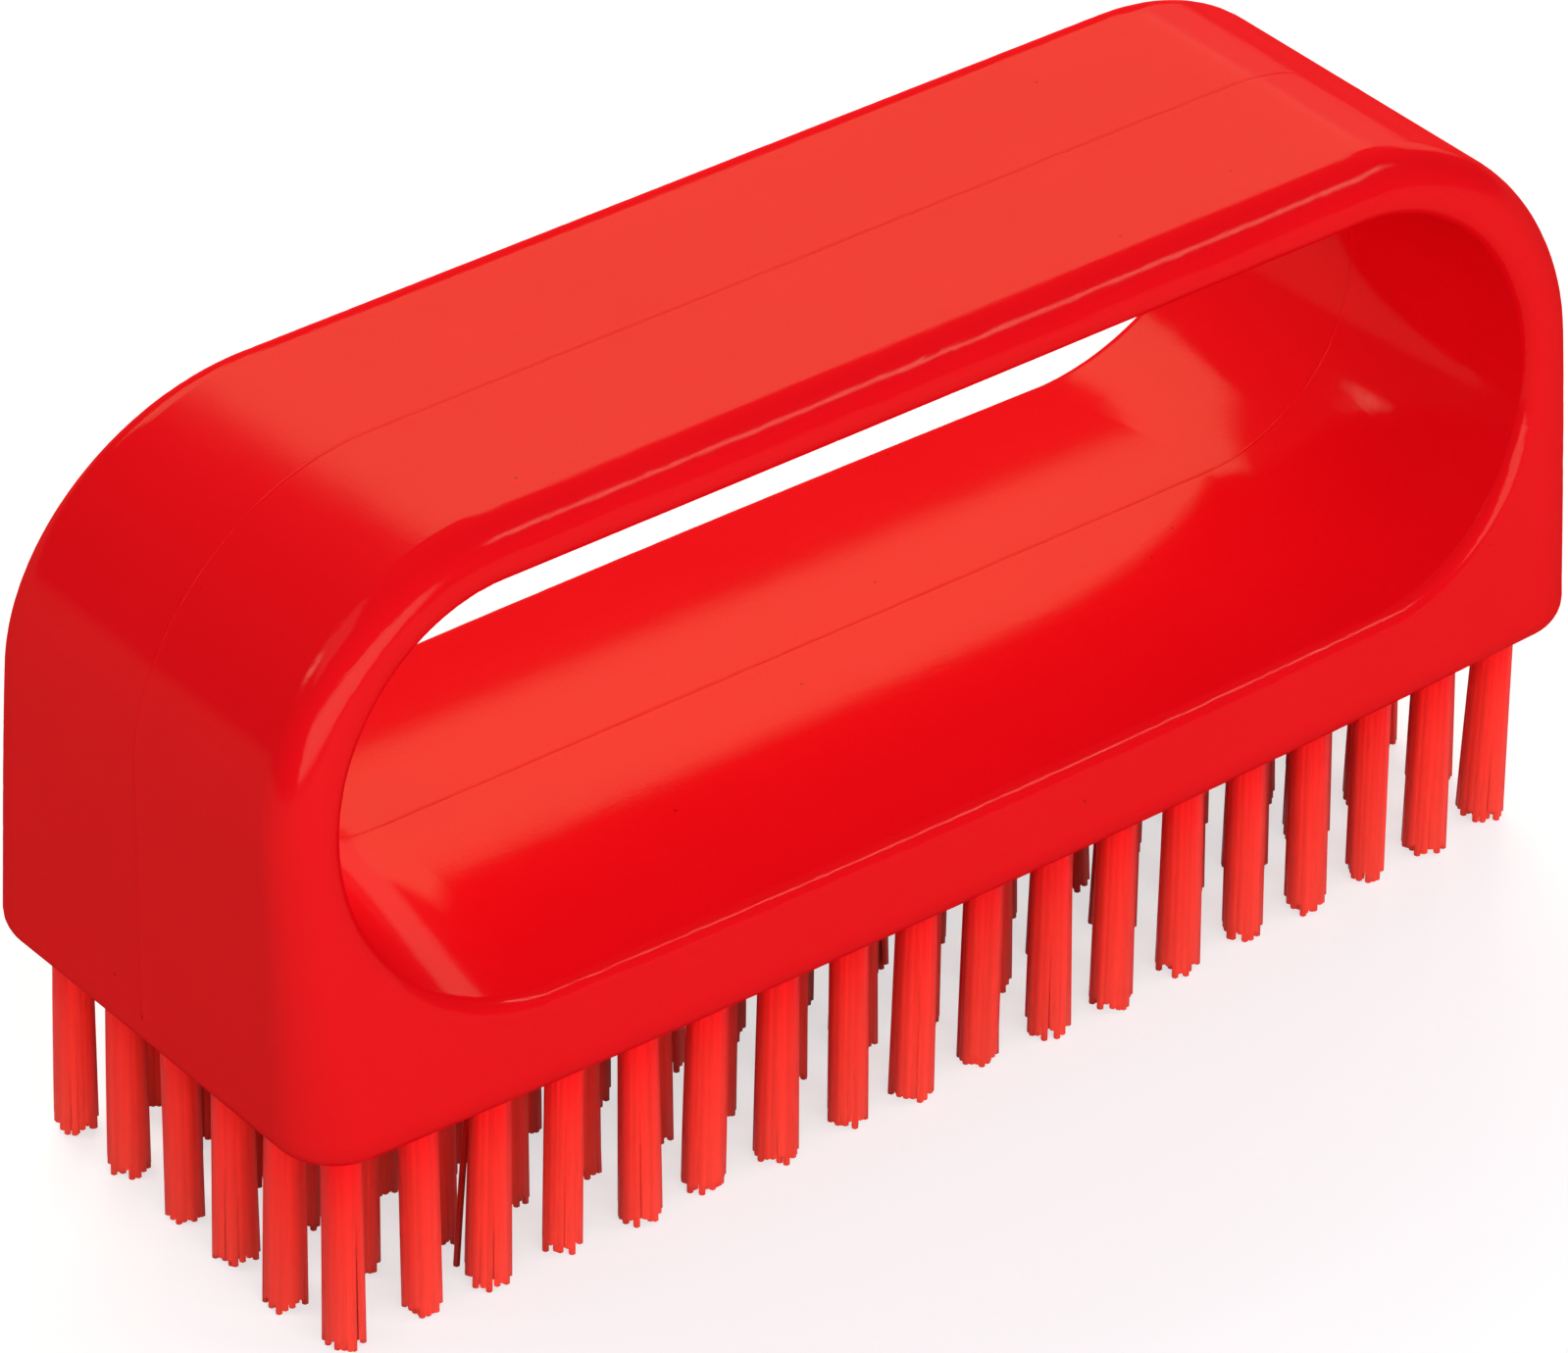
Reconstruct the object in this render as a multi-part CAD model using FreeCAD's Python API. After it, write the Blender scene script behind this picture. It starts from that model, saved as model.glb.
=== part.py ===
import FreeCAD, Part
import math
import os

V = FreeCAD.Vector

# Handle block: one moulding, a base that carries the bristles under a loop for the fingers
block_length = 119.4
block_height = 44.5  # underside of the base to the top of the grip bar
underside_width = 42.3  # across the underside, at its two ends
side_bulge = 1.4  # how far each long side swells out at mid-length, along the underside
top_width = 31.2  # across the top of the grip bar
loop_corner_radius = 20.3  # upper corners of the loop, seen from the side
loop_edge_radius = 3.2  # rounded edges over the loop
foot_edge_radius = 5.5  # the same edges at the foot of the two uprights
underside_edge_radius = 2.2

# Finger window: slim at the mould's mid-plane, drafted open towards both faces
bar_thickness = 6.1  # grip bar, at the mid-plane
upright_thickness = 7.0  # the two upright ends, at the mid-plane
base_thickness = 11.0  # base, at the mid-plane
window_draft = 11.0  # degrees
window_crown_width = 28.0  # rounded middle of the window's wall, between its two drafted parts
window_edge_radius = 1.4

# Bristle field
bristle_length = 18.0  # free length, underside of the base to the tips
tufts_along = 18
tufts_across = 6
end_margin = 5.3  # axis of an end tuft to the end of the block
side_margin = 5.0  # axis of a side tuft to the side of the base, at the ends of the underside
hole_radius = 1.6
hole_roof = 1.2  # plastic left between the holes and the window, at the side of the base
drill_point = 0.8  # height of the cone at the blind end of a hole
mouth_chamfer = 0.3
tuft_clearance = 0.2  # neck of a tuft to the wall of its hole
tuft_flare = 0.1  # how much the radius of a tuft grows from its hole to its tips
tip_chamfer = 0.25

# Root of a tuft: filaments folded over a flat wire anchor and driven into the hole
root_gap = 0.15  # between the root and the ball of the free tuft
fold_height = 0.9  # filaments that pass over the anchor
anchor_thickness = 0.3
anchor_height = 1.6
anchor_bite = 0.35  # how far each end of an anchor is driven into the plastic

overrun = 2.0  # how far a cutting shape passes what it cuts
edge_match = 0.01  # how near an edge lies to a wall to count as one of its edges
quarter_middle_share = math.sqrt(0.5)  # offset of a quarter round's middle, by its radius

half_length = block_length / 2
underside_z = bristle_length
top_z = underside_z + block_height
window_radius = (block_height - bar_thickness - base_thickness) / 2
window_z = underside_z + base_thickness + window_radius
window_end_x = half_length - upright_thickness - window_radius
tuft_radius = hole_radius - tuft_clearance
tip_radius = tuft_radius + tuft_flare
draft = math.radians(window_draft)


def window_flare(y):
    """How much wider the drafted window is at a distance y from the mid-plane."""
    crown_half = window_crown_width / 2
    crown_rise = crown_half * math.tan(draft / 2)
    return crown_rise + (y - crown_half) * math.tan(draft)


base_side_height = base_thickness - window_flare(underside_width / 2)
hole_depth = base_side_height - hole_roof


def line(start, end):
    return Part.LineSegment(start, end).toShape()


def arc(start, middle, end):
    return Part.Arc(start, middle, end).toShape()


def face_of(edges):
    return Part.Face(Part.Wire(edges))


def bulge_at(x):
    """How far the long sides stand out at x, along the underside."""
    return side_bulge * (1 - (x / half_length) ** 2)


def side_y(x, z):
    """Half the block's width between its long sides, before their edges are rounded."""
    foot_y = underside_width / 2 + bulge_at(x)
    top_y = top_width / 2
    return top_y + (foot_y - top_y) * (top_z - z) / block_height


def loop_profile():
    """The block's outline seen from the side, drawn across the whole width."""
    reach_y = underside_width
    arc_x = half_length - loop_corner_radius
    arc_z = top_z - loop_corner_radius
    mid_x = arc_x + loop_corner_radius * quarter_middle_share
    mid_z = arc_z + loop_corner_radius * quarter_middle_share
    foot_left = V(-half_length, -reach_y, underside_z)
    foot_right = V(half_length, -reach_y, underside_z)
    shoulder_left = V(-half_length, -reach_y, arc_z)
    shoulder_right = V(half_length, -reach_y, arc_z)
    top_left = V(-arc_x, -reach_y, top_z)
    top_right = V(arc_x, -reach_y, top_z)
    outline = [
        line(foot_left, foot_right),
        line(foot_right, shoulder_right),
        arc(shoulder_right, V(mid_x, -reach_y, mid_z), top_right),
        line(top_right, top_left),
        arc(top_left, V(-mid_x, -reach_y, mid_z), shoulder_left),
        line(shoulder_left, foot_left),
    ]
    return face_of(outline).extrude(V(0, 2 * reach_y, 0))


def slab_outline(end_y, middle_y, z):
    """Plan of the block at one height: two long sides, curved or straight, and two ends."""
    reach = half_length + overrun
    near = [V(-reach, -end_y, z), V(0, -middle_y, z), V(reach, -end_y, z)]
    far = [V(reach, end_y, z), V(0, middle_y, z), V(-reach, end_y, z)]
    sides = []
    for points in (near, far):
        curve = Part.BSplineCurve()
        curve.interpolate(points)
        sides.append(curve.toShape())
    return Part.Wire([sides[0], line(near[2], far[0]), sides[1], line(far[2], near[0])])


def tapered_slab():
    """Space between the long sides: bulged along the underside, straight along the top."""
    reach = half_length + overrun
    foot = slab_outline(side_y(reach, underside_z), side_y(0, underside_z), underside_z)
    top = slab_outline(side_y(reach, top_z), side_y(0, top_z), top_z)
    return Part.makeLoft([foot, top], True, True)


def loop_edges(block, side):
    """The edges round one face of the loop, from one foot over the top to the other foot."""
    found = []
    for number, edge in enumerate(block.Edges, 1):
        middle = edge.valueAt((edge.FirstParameter + edge.LastParameter) / 2)
        ends = [vertex.Point for vertex in edge.Vertexes]
        across = abs(ends[0].y - ends[1].y) > top_width
        if middle.y * side > 0 and middle.z > underside_z and not across:
            bearing = math.atan2(middle.x, middle.z - underside_z)
            found.append((bearing, number, ends[0].z))
    return sorted(found)


def round_loop_edges(block):
    """Round the outer edges; at each foot the radius grows to that of the base's corners."""
    radii = []
    for side in (-1, 1):
        chain = loop_edges(block, side)
        first, last = chain[0], chain[-1]
        rising = (foot_edge_radius, loop_edge_radius)
        falling = (loop_edge_radius, foot_edge_radius)
        starts_at_foot = first[2] < top_z - loop_corner_radius
        radii.append((first[1], *(rising if starts_at_foot else falling)))
        for edge in chain[1:-1]:
            radii.append((edge[1], loop_edge_radius, loop_edge_radius))
        radii.append((last[1], *(falling if starts_at_foot else rising)))
    document = FreeCAD.newDocument("block")
    plain = document.addObject("Part::Feature", "plain")
    plain.Shape = block
    rounded = document.addObject("Part::Fillet", "rounded")
    rounded.Base = plain
    rounded.Edges = radii
    document.recompute()
    return rounded.Shape.Solids[0]


def round_underside(block):
    rim = [edge for edge in block.Edges if edge.BoundBox.Center.z - underside_z < edge_match]
    return block.makeFillet(underside_edge_radius, rim).Solids[0]


def window_section(x):
    """Upper half of the window's section at x, in a plane across the block."""
    crown_y = window_crown_width / 2
    reach_y = underside_width / 2 + side_bulge + overrun
    wall_z = window_z + window_radius
    crown_z = wall_z + window_flare(crown_y)
    mouth_z = wall_z + window_flare(reach_y)
    near_foot, far_foot = V(x, -reach_y, window_z), V(x, reach_y, window_z)
    near_mouth, far_mouth = V(x, -reach_y, mouth_z), V(x, reach_y, mouth_z)
    near_crown, far_crown = V(x, -crown_y, crown_z), V(x, crown_y, crown_z)
    outline = [
        line(near_foot, near_mouth),
        line(near_mouth, near_crown),
        arc(near_crown, V(x, 0, wall_z), far_crown),
        line(far_crown, far_mouth),
        line(far_mouth, far_foot),
        line(far_foot, near_foot),
    ]
    return face_of(outline)


def finger_window():
    """Cutting shape of the window: a straight run with two round ends."""
    left = V(-window_end_x, 0, window_z)
    right = V(window_end_x, 0, window_z)
    across = V(0, 1, 0)
    upper_run = window_section(left.x).extrude(right - left)
    lower_run = upper_run.mirror(left, V(0, 0, 1))
    left_end = window_section(left.x).revolve(left, across, -180)
    right_end = window_section(right.x).revolve(right, across, 180)
    return upper_run.multiFuse([lower_run, left_end, right_end]).removeSplitter()


def round_window_edges(block):
    """Round the two edges where the window meets the long sides."""
    edges = []
    for edge in block.Edges:
        gaps = []
        for vertex in edge.Vertexes:
            x, y, z = vertex.Point
            past_end = max(abs(x) - window_end_x, 0)
            wall = window_radius + window_flare(abs(y))
            gaps.append(abs(y) - side_y(x, z))
            gaps.append(math.hypot(past_end, z - window_z) - wall)
        if max(abs(gap) for gap in gaps) < edge_match:
            edges.append(edge)
    return block.makeFillet(window_edge_radius, edges).Solids[0]


def tuft_places():
    """Axes of the tufts where they leave the underside, as one list for each row across the block."""
    rows = []
    end_x = half_length - end_margin
    for column in range(tufts_along):
        x = end_x * (2 * column / (tufts_along - 1) - 1)
        outer_y = underside_width / 2 - side_margin + bulge_at(x)
        row = [V(x, outer_y * (2 * k / (tufts_across - 1) - 1), underside_z) for k in range(tufts_across)]
        rows.append(row)
    return rows


def turned(outline):
    """Solid of revolution about the Z axis from points (radius, z), the first and last on the axis."""
    points = [V(radius, 0, z) for radius, z in outline]
    edges = [line(a, b) for a, b in zip(points, points[1:] + points[:1])]
    return face_of(edges).revolve(V(0, 0, 0), V(0, 0, 1), 360)


def hole():
    """Blind hole for one tuft, with its mouth chamfer and drill point."""
    return turned([
        (0, -overrun),
        (hole_radius + mouth_chamfer + overrun, -overrun),
        (hole_radius, mouth_chamfer),
        (hole_radius, hole_depth - drill_point),
        (0, hole_depth),
    ])


def anchor():
    """Flat wire anchor that holds one tuft, across its hole."""
    length = 2 * (hole_radius + anchor_bite)
    top = hole_depth - drill_point - fold_height
    corner = V(-anchor_thickness / 2, -length / 2, top - anchor_height)
    return Part.makeBox(anchor_thickness, length, anchor_height, corner)


def root():
    """Folded end of one tuft, as a bundle that fills its hole round the anchor."""
    return turned([
        (0, tuft_radius + root_gap),
        (tuft_radius, tuft_radius + root_gap),
        (tuft_radius, hole_depth - drill_point - tuft_clearance),
        (0, hole_depth - tuft_clearance),
    ]).cut(anchor())


def free_tuft():
    """Free length of one tuft: a flared bundle, with a ball in the mouth of the hole to bend about."""
    tip_z = -bristle_length
    ball = quarter_middle_share * tuft_radius
    rim = V(tuft_radius, 0, 0)
    flared = V(tip_radius, 0, tip_z + tip_chamfer)
    trimmed = V(tip_radius - tip_chamfer, 0, tip_z)
    crown = V(0, 0, tuft_radius)
    foot = V(0, 0, tip_z)
    outline = [
        arc(crown, V(ball, 0, ball), rim),
        line(rim, flared),
        line(flared, trimmed),
        line(trimmed, foot),
        line(foot, crown),
    ]
    return face_of(outline).revolve(foot, V(0, 0, 1), 360)


def at_places(shape, places):
    copies = []
    for place in places:
        copy = shape.copy()
        copy.translate(place)
        copies.append(copy)
    return Part.makeCompound(copies)


def handle_block():
    block = loop_profile().common(tapered_slab()).Solids[0]
    block = round_underside(round_loop_edges(block))
    block = round_window_edges(block.cut(finger_window()).Solids[0])
    places = [place for row in tuft_places() for place in row]
    return block.cut(at_places(hole().fuse(anchor()), places)).Solids[0]


def main():
    os.makedirs("parts", exist_ok=True)
    rows = tuft_places()
    places = [place for row in rows for place in row]
    pieces = {
        "handle_block": handle_block(),
        "tuft_roots": at_places(root(), places),
        "anchor_staples": at_places(anchor(), places),
    }
    for number, row in enumerate(rows, 1):
        pieces[f"tuft_row_{number:02d}"] = at_places(free_tuft(), row)
    for name, shape in pieces.items():
        shape.exportStep(f"parts/{name}.step")
        print(name, len(shape.Solids), "solids", round(shape.Volume, 1), "mm3", shape.isValid())


main()
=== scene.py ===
import math
import random

import bmesh
import bpy
from mathutils import Matrix, Vector


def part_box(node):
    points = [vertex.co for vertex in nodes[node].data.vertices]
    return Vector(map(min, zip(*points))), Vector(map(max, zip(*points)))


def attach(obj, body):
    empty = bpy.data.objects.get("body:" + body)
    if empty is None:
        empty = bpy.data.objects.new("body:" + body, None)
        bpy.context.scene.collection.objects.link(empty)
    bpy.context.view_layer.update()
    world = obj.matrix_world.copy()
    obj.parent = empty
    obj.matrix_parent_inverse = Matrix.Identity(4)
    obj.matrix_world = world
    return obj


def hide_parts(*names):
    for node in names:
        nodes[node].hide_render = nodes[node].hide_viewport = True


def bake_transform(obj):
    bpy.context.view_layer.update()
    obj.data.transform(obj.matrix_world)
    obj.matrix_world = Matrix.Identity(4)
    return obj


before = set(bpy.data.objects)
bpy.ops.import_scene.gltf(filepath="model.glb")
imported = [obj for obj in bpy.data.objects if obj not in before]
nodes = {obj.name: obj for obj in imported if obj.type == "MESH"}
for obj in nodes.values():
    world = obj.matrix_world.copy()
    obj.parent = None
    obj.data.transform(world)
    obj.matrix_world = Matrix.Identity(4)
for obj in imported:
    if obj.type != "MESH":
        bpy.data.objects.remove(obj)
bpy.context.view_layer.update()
mm = 0.001


# small helpers for node materials

def startMaterial(name):
    material = bpy.data.materials.new(name)
    material.use_nodes = True
    shader = material.node_tree.nodes["Principled BSDF"]
    return material, material.node_tree, shader


def addNode(tree, kind, inputs=None, **settings):
    node = tree.nodes.new(kind)
    for key, value in settings.items():
        setattr(node, key, value)
    for key, value in (inputs or {}).items():
        node.inputs[key].default_value = value
    return node


def wire(tree, source, target):
    tree.links.new(source, target)


def rampOf(tree, source, stops):
    ramp = addNode(tree, "ShaderNodeValToRGB")
    elements = ramp.color_ramp.elements
    while len(elements) < len(stops):
        elements.new(0.5)   # moved to its own place below
    for element, (place, colour) in zip(elements, stops):
        element.position = place
        element.color = (*colour, 1.0)
    wire(tree, source, ramp.inputs["Fac"])
    return ramp.outputs["Color"]


def noiseAt(tree, place, scale, detail):
    noise = addNode(tree, "ShaderNodeTexNoise", {"Scale": scale, "Detail": detail})
    wire(tree, place, noise.inputs["Vector"])
    return noise.outputs["Fac"]


def giveMaterial(thing, material):
    thing.data.materials.clear()
    thing.data.materials.append(material)


# moulded block: red satin plastic with a fine spark-eroded grain

blockPlastic = {
    "deepRed": (0.80, 0.0020, 0.0060),
    "paleRed": (0.82, 0.0026, 0.0070),
    "mottleScale": 60.0,
    "mottleDetail": 4.0,
    "mottleRange": (0.3, 0.7),
    "grainScale": 2800.0,
    "grainDetail": 2.0,
    "grainHeight": 0.012 * mm,
    "speckScale": 230.0,    # cells to a metre; some of them hold a dust speck
    "speckSize": 0.035,     # in cells
    "speckCore": 0.6,       # part of the speck that is fully dark
    "speckShare": 0.6,
    "speckRed": (0.42, 0.002, 0.006),
    "roughness": (0.10, 0.12),
    "sheen": 0.0082,        # share of the light that the satin surface mirrors, from all sides alike
    "sheenTint": (1.0, 0.95, 0.72, 1.0),
    "hazeWeight": 0.05,     # a broad faint haze over the sharper sheen
    "hazeRoughness": 0.6,
    "hazeIor": 1.25,
}


def addSpecks(tree, place, colour):
    look = blockPlastic
    cells = addNode(tree, "ShaderNodeTexVoronoi", {"Scale": look["speckScale"]})
    wire(tree, place, cells.inputs["Vector"])
    size = look["speckSize"]
    dot = addNode(tree, "ShaderNodeMapRange", {
        "From Min": look["speckCore"] * size, "From Max": size, "To Min": 1.0, "To Max": 0.0})
    wire(tree, cells.outputs["Distance"], dot.inputs["Value"])
    chance = addNode(tree, "ShaderNodeSeparateColor")
    wire(tree, cells.outputs["Color"], chance.inputs["Color"])
    picked = addNode(tree, "ShaderNodeMath", {1: look["speckShare"]}, operation="LESS_THAN")
    wire(tree, chance.outputs["Red"], picked.inputs[0])
    shown = addNode(tree, "ShaderNodeMath", operation="MULTIPLY")
    wire(tree, dot.outputs["Result"], shown.inputs[0])
    wire(tree, picked.outputs["Value"], shown.inputs[1])
    mixed = addNode(tree, "ShaderNodeMix", data_type="RGBA")
    share, plain, dark = (mixed.inputs[k] for k in (0, 6, 7))   # by number, since names repeat on this node
    dark.default_value = (*look["speckRed"], 1.0)
    wire(tree, shown.outputs["Value"], share)
    wire(tree, colour, plain)
    return mixed.outputs[2]


def mouldedRedPlastic():
    look = blockPlastic
    material, tree, shader = startMaterial("mouldedRedPlastic")
    place = addNode(tree, "ShaderNodeTexCoord").outputs["Object"]
    mottle = noiseAt(tree, place, look["mottleScale"], look["mottleDetail"])
    grain = noiseAt(tree, place, look["grainScale"], look["grainDetail"])
    start, end = look["mottleRange"]
    colour = rampOf(tree, mottle, [(start, look["deepRed"]), (end, look["paleRed"])])
    wire(tree, addSpecks(tree, place, colour), shader.inputs["Base Color"])
    low, high = look["roughness"]
    rough = addNode(tree, "ShaderNodeMapRange", {
        "From Min": start, "From Max": end, "To Min": low, "To Max": high})
    wire(tree, mottle, rough.inputs["Value"])
    wire(tree, rough.outputs["Result"], shader.inputs["Roughness"])
    bump = addNode(tree, "ShaderNodeBump", {"Strength": 1.0, "Distance": look["grainHeight"]})
    wire(tree, grain, bump.inputs["Height"])
    wire(tree, bump.outputs["Normal"], shader.inputs["Normal"])
    shader.inputs["Specular IOR Level"].default_value = 0.0
    sheen = addNode(tree, "ShaderNodeBsdfAnisotropic", {"Color": look["sheenTint"]})
    wire(tree, rough.outputs["Result"], sheen.inputs["Roughness"])
    wire(tree, bump.outputs["Normal"], sheen.inputs["Normal"])
    both = addNode(tree, "ShaderNodeMixShader", {"Fac": look["sheen"]})
    wire(tree, shader.outputs["BSDF"], both.inputs[1])
    wire(tree, sheen.outputs["BSDF"], both.inputs[2])
    wire(tree, both.outputs["Shader"], tree.nodes["Material Output"].inputs["Surface"])
    shader.inputs["Coat Weight"].default_value = look["hazeWeight"]
    shader.inputs["Coat Roughness"].default_value = look["hazeRoughness"]
    shader.inputs["Coat IOR"].default_value = look["hazeIor"]
    return material


plastic = mouldedRedPlastic()
giveMaterial(nodes["handle_block"], plastic)
print("block: moulded red plastic")


# parting bead: the hair line that the two halves of the mould leave along the mid-plane

partingBead = {
    "width": 0.26 * mm,
    "height": 0.008 * mm,
    "shoulder": 0.75,           # its height halfway out from its middle, as a share
    "sunk": 0.08 * mm,          # how far its foot lies under the surface
    "cornerRadius": 20.3 * mm,  # upper corners of the loop
    "footRadius": 2.2 * mm,     # rounded edge round the underside
    "windowEnd": 39.0 * mm,     # middle of the window's round ends
    "windowRadius": 13.7 * mm,
    "windowHeight": 42.7 * mm,  # middle of the window
    "stepsInQuarter": 40,
    "stepsInRun": 24,
}


def quarterTurns(middleX, middleZ, radius, startAngle, quarters):
    steps = partingBead["stepsInQuarter"] * quarters
    turns = [startAngle + math.pi / 2 * quarters * k / steps for k in range(steps + 1)]
    spokes = [(math.cos(a), math.sin(a)) for a in turns]
    return [((middleX + radius * x, middleZ + radius * z), (x, z)) for x, z in spokes]


def straightRun(start, end, outward):
    steps = partingBead["stepsInRun"]
    goX, goZ = end[0] - start[0], end[1] - start[1]
    return [((start[0] + goX * k / steps, start[1] + goZ * k / steps), outward) for k in range(1, steps)]


def loopLine():
    low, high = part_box("handle_block")
    radius = partingBead["cornerRadius"]
    cornerX, cornerZ = high.x - radius, high.z - radius
    foot = low.z + partingBead["footRadius"]
    line = straightRun((high.x, foot), (high.x, cornerZ), (1, 0))
    line += quarterTurns(cornerX, cornerZ, radius, 0, 1)
    line += straightRun((cornerX, high.z), (-cornerX, high.z), (0, 1))
    line += quarterTurns(-cornerX, cornerZ, radius, math.pi / 2, 1)
    line += straightRun((low.x, cornerZ), (low.x, foot), (-1, 0))
    return line


def windowLine():
    endX, middleZ, radius = (partingBead[key] for key in ("windowEnd", "windowHeight", "windowRadius"))
    line = quarterTurns(endX, middleZ, radius, -math.pi / 2, 2)
    line += straightRun((endX, middleZ + radius), (-endX, middleZ + radius), (0, 1))
    line += quarterTurns(-endX, middleZ, radius, math.pi / 2, 2)
    line += straightRun((-endX, middleZ - radius), (endX, middleZ - radius), (0, -1))
    return [(place, (-out[0], -out[1])) for place, out in line]


def beadAlong(name, line, closed):
    half, rise, sunk = partingBead["width"] / 2, partingBead["height"], partingBead["sunk"]
    shoulder = rise * partingBead["shoulder"]
    section = [(-half, -sunk), (-half, 0), (-half / 2, shoulder), (0, rise), (half / 2, shoulder),
               (half, 0), (half, -sunk)]
    corners, faces = [], []
    for (x, z), (outX, outZ) in line:
        corners += [(x + outX * lift, y, z + outZ * lift) for y, lift in section]
    sides, rings = len(section), len(line)
    for k in range(rings if closed else rings - 1):
        a, b = k * sides, (k + 1) % rings * sides
        faces += [(a + n, a + (n + 1) % sides, b + (n + 1) % sides, b + n) for n in range(sides)]
    if not closed:
        faces += [tuple(range(sides - 1, -1, -1)), tuple(range((rings - 1) * sides, rings * sides))]
    data = bpy.data.meshes.new(name)
    data.from_pydata(corners, [], faces)
    data.polygons.foreach_set("use_smooth", [len(face) == 4 for face in faces])
    mesh = bmesh.new()
    mesh.from_mesh(data)
    bmesh.ops.recalc_face_normals(mesh, faces=mesh.faces)
    mesh.to_mesh(data)
    mesh.free()
    bead = bpy.data.objects.new(name, data)
    bpy.context.scene.collection.objects.link(bead)
    giveMaterial(bead, plastic)
    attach(bead, "block")


beadAlong("partingBeadLoop", loopLine(), False)
beadAlong("partingBeadWindow", windowLine(), True)
print("parting bead: round the loop and round the window")


# bristle tufts: each row across the block is one piece of separate filaments

bristles = {
    "rows": 18,
    "tuftsInRow": 6,
    "strandRadius": 0.27 * mm,
    "sides": 6,
    "pieces": 7,            # lengths along one strand
    "rings": 3,             # rings of strands round the middle one
    "pitch": 0.40 * mm,     # strand to strand inside the hole
    "pitchSpread": (0.95, 1.02),
    "merge": 0.75,          # how far the shading of a strand follows its whole bundle
    "flare": (1.0, 1.36),   # how much wider the bundle is at its tips
    "splay": 0.8,           # below one, the bundle widens early
    "lean": 0.25 * mm,
    "wander": 0.05 * mm,
    "bow": 0.04 * mm,
    "trim": 1.1 * mm,       # raggedness of the cut
    "trimBias": 1.7,        # above one, most strands reach the floor
    "strayShare": 0.008,
    "strayLean": 0.8 * mm,
    "strayReach": (0.5, 1.2),
    "strayTurn": 0.6,       # how far a stray turns from straight outwards
    "bendEnd": -0.15,       # a share of the strand's length, beyond the tips
    "tone": (0.87, 1.0),    # lightness from strand to strand
    "seed": 41,
}

filamentLook = {
    # the colour along a strand is painted shade and painted light: the deep red at the root is painted
    # shade under the block, the orange toward the tips is painted light
    "root": (0.90, 0.003, 0.006),
    "middle": (0.91, 0.030, 0.020),
    "tip": (0.92, 0.056, 0.036),
    "rootEnd": 0.12,        # shares of the free length
    "middleAt": 0.45,
    "roughness": 0.4,
    "specular": 0.1,
    "glow": 0.7,            # light that spreads through the clear nylon
    "glowReach": 0.7 * mm,
}


def redFilament():
    look = filamentLook
    material, tree, shader = startMaterial("redFilament")
    along = addNode(tree, "ShaderNodeAttribute", attribute_name="alongStrand")
    tone = addNode(tree, "ShaderNodeAttribute", attribute_name="strandTone")
    # painted shade at the root, painted light toward the tips
    stops = [(look["rootEnd"], look["root"]), (look["middleAt"], look["middle"]), (1.0, look["tip"])]
    colour = rampOf(tree, along.outputs["Fac"], stops)
    shade = addNode(tree, "ShaderNodeHueSaturation")
    wire(tree, colour, shade.inputs["Color"])
    wire(tree, tone.outputs["Fac"], shade.inputs["Value"])
    wire(tree, shade.outputs["Color"], shader.inputs["Base Color"])
    shader.inputs["Roughness"].default_value = look["roughness"]
    shader.inputs["Specular IOR Level"].default_value = look["specular"]
    shader.subsurface_method = "BURLEY"
    shader.inputs["Subsurface Weight"].default_value = look["glow"]
    shader.inputs["Subsurface Radius"].default_value = (1.0, 1.0, 1.0)
    shader.inputs["Subsurface Scale"].default_value = look["glowReach"]
    return material


def bundlePlan(dice):
    plan = [(0.0, 0.0)]
    for ring in range(1, bristles["rings"] + 1):
        turn = dice.uniform(0, math.tau)
        count = 6 * ring    # six strands fit round one, twelve round those
        for k in range(count):
            angle = turn + math.tau * k / count
            reach = ring * bristles["pitch"] * dice.uniform(*bristles["pitchSpread"])
            plan.append((reach * math.cos(angle), reach * math.sin(angle)))
    return plan


def strandBends():
    return [(k / bristles["pieces"]) ** bristles["splay"] for k in range(bristles["pieces"] + 1)]


def strandPath(foot, offset, top, lean, flare, dice):
    strays = dice.random() < bristles["strayShare"]
    wander = bristles["wander"]
    end = [offset[i] * flare + lean[i] + dice.gauss(0, wander) for i in (0, 1)]
    if strays:
        turn = bristles["strayTurn"]
        angle = math.atan2(offset[1], offset[0]) + dice.uniform(-turn, turn)
        end[0] += bristles["strayLean"] * math.cos(angle) * dice.uniform(*bristles["strayReach"])
        end[1] += bristles["strayLean"] * math.sin(angle) * dice.uniform(*bristles["strayReach"])
    bowAngle = dice.uniform(0, math.tau)
    bow = bristles["bow"] * dice.uniform(-1, 1)
    tip = bristles["trim"] * dice.random() ** bristles["trimBias"]
    points = []
    for k, bend in enumerate(strandBends()):
        t = k / bristles["pieces"]
        swing = bow * math.sin(math.pi * t)
        points.append(Vector((
            foot[0] + offset[0] + (end[0] - offset[0]) * bend + swing * math.cos(bowAngle),
            foot[1] + offset[1] + (end[1] - offset[1]) * bend + swing * math.sin(bowAngle),
            top + (tip - top) * t)))
    return points


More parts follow.
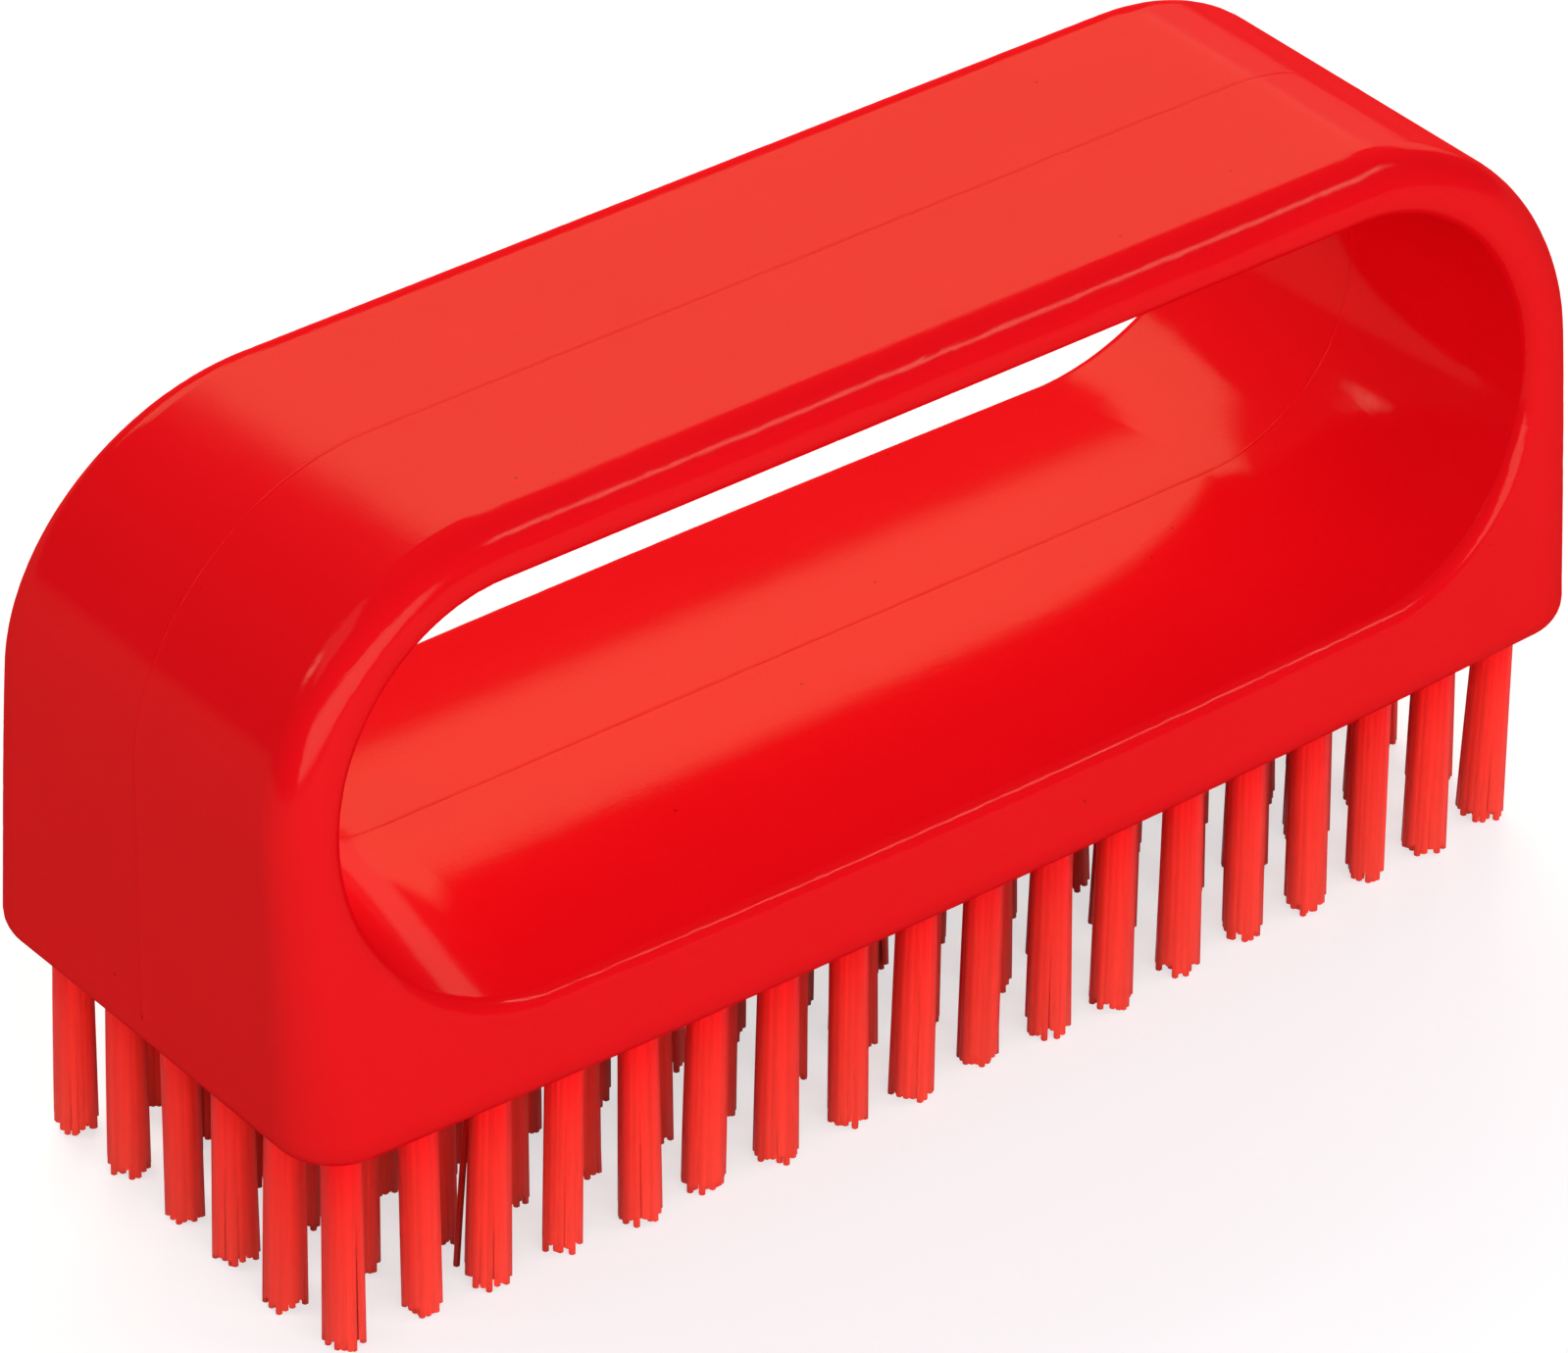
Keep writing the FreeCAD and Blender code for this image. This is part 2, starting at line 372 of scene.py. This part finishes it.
def addStrand(points, axis, tone, mesh):
    corners, faces, along, tones, shading = mesh
    sides, merge = bristles["sides"], bristles["merge"]
    first = len(corners)
    normals = []
    for k, point in enumerate(points):
        before, after = points[max(k - 1, 0)], points[min(k + 1, len(points) - 1)]
        run = (after - before).normalized()
        sideways = run.cross(Vector((0, 1, 0))).normalized()
        upright = run.cross(sideways)
        for n in range(sides):
            angle = math.tau * n / sides
            spoke = sideways * math.cos(angle) + upright * math.sin(angle)
            corner = point + spoke * bristles["strandRadius"]
            outward = (corner - axis[k]).normalized()
            corners.append(corner)
            normals.append((spoke * (1 - merge) + outward * merge).normalized())
            along.append(k / (len(points) - 1))
            tones.append(tone)
    for k in range(len(points) - 1):
        for n in range(sides):
            a = k * sides + n
            b = k * sides + (n + 1) % sides
            ring = (a, b, b + sides, a + sides)
            faces.append(tuple(first + corner for corner in ring))
            shading += [normals[corner] for corner in ring]
    last = first + (len(points) - 1) * sides
    faces.append(tuple(range(last, last + sides)))
    faces.append(tuple(range(first + sides - 1, first - 1, -1)))
    shading += [Vector((0, 0, -1))] * sides + [Vector((0, 0, 1))] * sides


def tuftFeet(node):
    low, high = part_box(node)
    middle = (low.x + high.x) / 2
    rim = (high.x - low.x) / 2
    reach = (high.y - low.y) / 2 - rim
    count = bristles["tuftsInRow"]
    return [(middle, reach * (2 * k / (count - 1) - 1)) for k in range(count)], high.z


def tuftRow(number, material):
    node = f"tuft_row_{number:02d}"
    dice = random.Random(bristles["seed"] + number)
    feet, top = tuftFeet(node)
    mesh = ([], [], [], [], [])
    for foot in feet:
        lean = (dice.gauss(0, bristles["lean"]), dice.gauss(0, bristles["lean"]))
        flare = dice.uniform(*bristles["flare"])
        for offset in bundlePlan(dice):
            path = strandPath(foot, offset, top, lean, flare, dice)
            axis = [Vector((foot[0] + lean[0] * bend, foot[1] + lean[1] * bend, point.z))
                    for point, bend in zip(path, strandBends())]
            addStrand(path, axis, dice.uniform(*bristles["tone"]), mesh)
    corners, faces, along, tones, shading = mesh
    data = bpy.data.meshes.new(f"tuftRow{number:02d}")
    data.from_pydata(corners, [], faces)
    for name, values in (("alongStrand", along), ("strandTone", tones)):
        data.attributes.new(name, "FLOAT", "POINT").data.foreach_set("value", values)
    data.polygons.foreach_set("use_smooth", [True] * len(faces))
    data.normals_split_custom_set(shading)
    data.update()
    row = bpy.data.objects.new(f"tuftRow{number:02d}", data)
    bpy.context.scene.collection.objects.link(row)
    giveMaterial(row, material)
    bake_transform(row)
    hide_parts(node)
    return row


filament = redFilament()
tuftRows = [tuftRow(number, filament) for number in range(1, bristles["rows"] + 1)]
giveMaterial(nodes["tuft_roots"], filament)
print("tufts:", len(tuftRows), "rows,", sum(len(row.data.polygons) for row in tuftRows), "faces")


# wire anchors that hold the folds of the tufts

anchorLook = {
    "steel": (0.60, 0.58, 0.55),
    "shade": (0.42, 0.41, 0.39),
    "roughness": 0.35,
    "drawScale": 900.0,
    "drawDetail": 3.0,
    "drawRange": (0.35, 0.65),
}


def drawnWire():
    look = anchorLook
    material, tree, shader = startMaterial("drawnWire")
    place = addNode(tree, "ShaderNodeTexCoord").outputs["Object"]
    streaks = noiseAt(tree, place, look["drawScale"], look["drawDetail"])
    start, end = look["drawRange"]
    colour = rampOf(tree, streaks, [(start, look["shade"]), (end, look["steel"])])
    wire(tree, colour, shader.inputs["Base Color"])
    shader.inputs["Metallic"].default_value = 1.0
    shader.inputs["Roughness"].default_value = look["roughness"]
    return material


giveMaterial(nodes["anchor_staples"], drawnWire())
print("anchors: drawn wire")


# studio: pale floor, one big panel behind, softboxes round it, a pale world

studio = {
    "aimHeight": 0.04,      # what the softboxes point at
    "floorSize": 6.0,
    "floorRoughness": 0.9,
    "floorColour": (0.48, 0.48, 0.48),
    "floorLift": 0.64,      # what the camera and reflections see on top of the floor's own colour
    "worldFill": 0.24,
    "worldColour": (0.96, 1.0, 1.15),
    "panel": {"az": 20.5, "low": 24.0, "high": 47.0, "wide": 1.25, "far": 1.1, "radiance": 6.3,
              "colour": (1.0, 0.95, 0.74)},
    "softboxes": {
        "keySoftbox": {"az": 126.0, "el": 43.0, "far": 1.4, "size": (0.7, 0.12), "radiance": 11.0},
        "sideSoftbox": {"az": 57.0, "el": 12.5, "far": 1.2, "size": (0.52, 0.4), "radiance": 4.4},
        "frontSoftbox": {"az": -160.0, "el": 17.0, "far": 1.4, "size": (1.8, 0.6), "radiance": 4.7},
        "leftSoftbox": {"az": -66.0, "el": 50.0, "far": 1.4, "size": (0.8, 0.6), "radiance": 1.5},
        "rimSoftbox": {"az": -56.0, "el": 33.0, "far": 1.2, "size": (0.16, 0.2), "radiance": 10.0},
    },
}


def lightAt(name, place, target, size, radiance, colour=(1, 1, 1)):
    lamp = bpy.data.lights.new(name, "AREA")
    lamp.shape = "RECTANGLE"
    lamp.color = colour
    lamp.size, lamp.size_y = size
    lamp.energy = radiance * math.pi * size[0] * size[1]
    thing = bpy.data.objects.new(name, lamp)
    thing.location = place
    thing.rotation_euler = (Vector(place) - Vector(target)).to_track_quat("Z", "Y").to_euler()
    bpy.context.scene.collection.objects.link(thing)


def seenRays(tree):
    rays = addNode(tree, "ShaderNodeLightPath")
    mirrored = addNode(tree, "ShaderNodeMath", operation="ADD")
    seen = addNode(tree, "ShaderNodeMath", operation="ADD")
    wire(tree, rays.outputs["Is Glossy Ray"], mirrored.inputs[0])
    wire(tree, rays.outputs["Is Transmission Ray"], mirrored.inputs[1])
    wire(tree, rays.outputs["Is Camera Ray"], seen.inputs[0])
    wire(tree, mirrored.outputs["Value"], seen.inputs[1])
    return seen.outputs["Value"]


def setStudio():
    middle = Vector((0, 0, studio["aimHeight"]))
    panel = studio["panel"]
    bearing = math.radians(panel["az"])
    rise = [panel["far"] * math.tan(math.radians(panel[key])) for key in ("low", "high")]
    place = Vector((panel["far"] * math.sin(bearing), panel["far"] * math.cos(bearing), sum(rise) / 2))
    lightAt("backPanel", place, (0, 0, place.z), (panel["wide"], rise[1] - rise[0]), panel["radiance"],
            panel["colour"])
    for name, lamp in studio["softboxes"].items():
        bearing, rise = math.radians(lamp["az"]), math.radians(lamp["el"])
        level, up = lamp["far"] * math.cos(rise), lamp["far"] * math.sin(rise)
        place = middle + Vector((level * math.sin(bearing), level * math.cos(bearing), up))
        lightAt(name, place, middle, lamp["size"], lamp["radiance"])

    world = bpy.data.worlds.new("paleStudio")
    bpy.context.scene.world = world
    world.use_nodes = True
    tree = world.node_tree
    tree.nodes.clear()
    fill = addNode(tree, "ShaderNodeBackground", {
        "Color": (*studio["worldColour"], 1), "Strength": studio["worldFill"]})
    wire(tree, fill.outputs["Background"], addNode(tree, "ShaderNodeOutputWorld").inputs["Surface"])

    half = studio["floorSize"] / 2
    data = bpy.data.meshes.new("floor")
    corners = [(-half, -half, 0), (half, -half, 0), (half, half, 0), (-half, half, 0)]
    data.from_pydata(corners, [], [(0, 1, 2, 3)])
    floor = bpy.data.objects.new("floor", data)
    bpy.context.scene.collection.objects.link(floor)
    material, tree, shader = startMaterial("paleFloor")
    shader.inputs["Base Color"].default_value = (*studio["floorColour"], 1.0)
    shader.inputs["Roughness"].default_value = studio["floorRoughness"]
    shader.inputs["Specular IOR Level"].default_value = 0.0
    shader.inputs["Emission Color"].default_value = (1, 1, 1, 1)
    lift = addNode(tree, "ShaderNodeMapRange", {"To Min": 0.0, "To Max": studio["floorLift"]})
    wire(tree, seenRays(tree), lift.inputs["Value"])
    wire(tree, lift.outputs["Result"], shader.inputs["Emission Strength"])
    giveMaterial(floor, material)


setStudio()
print("studio: floor, panel and softboxes")


# camera at the photograph's viewing angle

photoCamera = {
    "imageWidth": 1599,
    "sensorWidth": 36.0,
    "clip": (0.05, 50.0),
    "focalPixels": 9688.69,
    "azimuth": -38.8916,
    "elevation": 33.665,
    "roll": 0.8021,
    "aside": -1.1307 * mm,
    "upward": 21.7483 * mm,
    "distance": 714.7857 * mm,
}


def setCamera():
    view = photoCamera
    az, el, roll = (math.radians(view[key]) for key in ("azimuth", "elevation", "roll"))
    back = Vector((math.sin(az) * math.cos(el), -math.cos(az) * math.cos(el), math.sin(el)))
    level = Vector((math.cos(az), math.sin(az), 0))
    rise = back.cross(level)
    right = level * math.cos(roll) + rise * math.sin(roll)
    up = rise * math.cos(roll) - level * math.sin(roll)
    lens = bpy.data.cameras.new("photoCamera")
    lens.sensor_width = view["sensorWidth"]
    lens.lens = view["focalPixels"] * lens.sensor_width / view["imageWidth"]
    lens.clip_start, lens.clip_end = view["clip"]
    camera = bpy.data.objects.new("photoCamera", lens)
    turn = Matrix((right, up, back)).transposed().to_4x4()
    place = right * view["aside"] + up * view["upward"] + back * view["distance"]
    camera.matrix_world = Matrix.Translation(place) @ turn
    bpy.context.scene.collection.objects.link(camera)
    bpy.context.scene.camera = camera


setCamera()
bpy.context.scene.view_settings.view_transform = "Standard"
print("camera set")
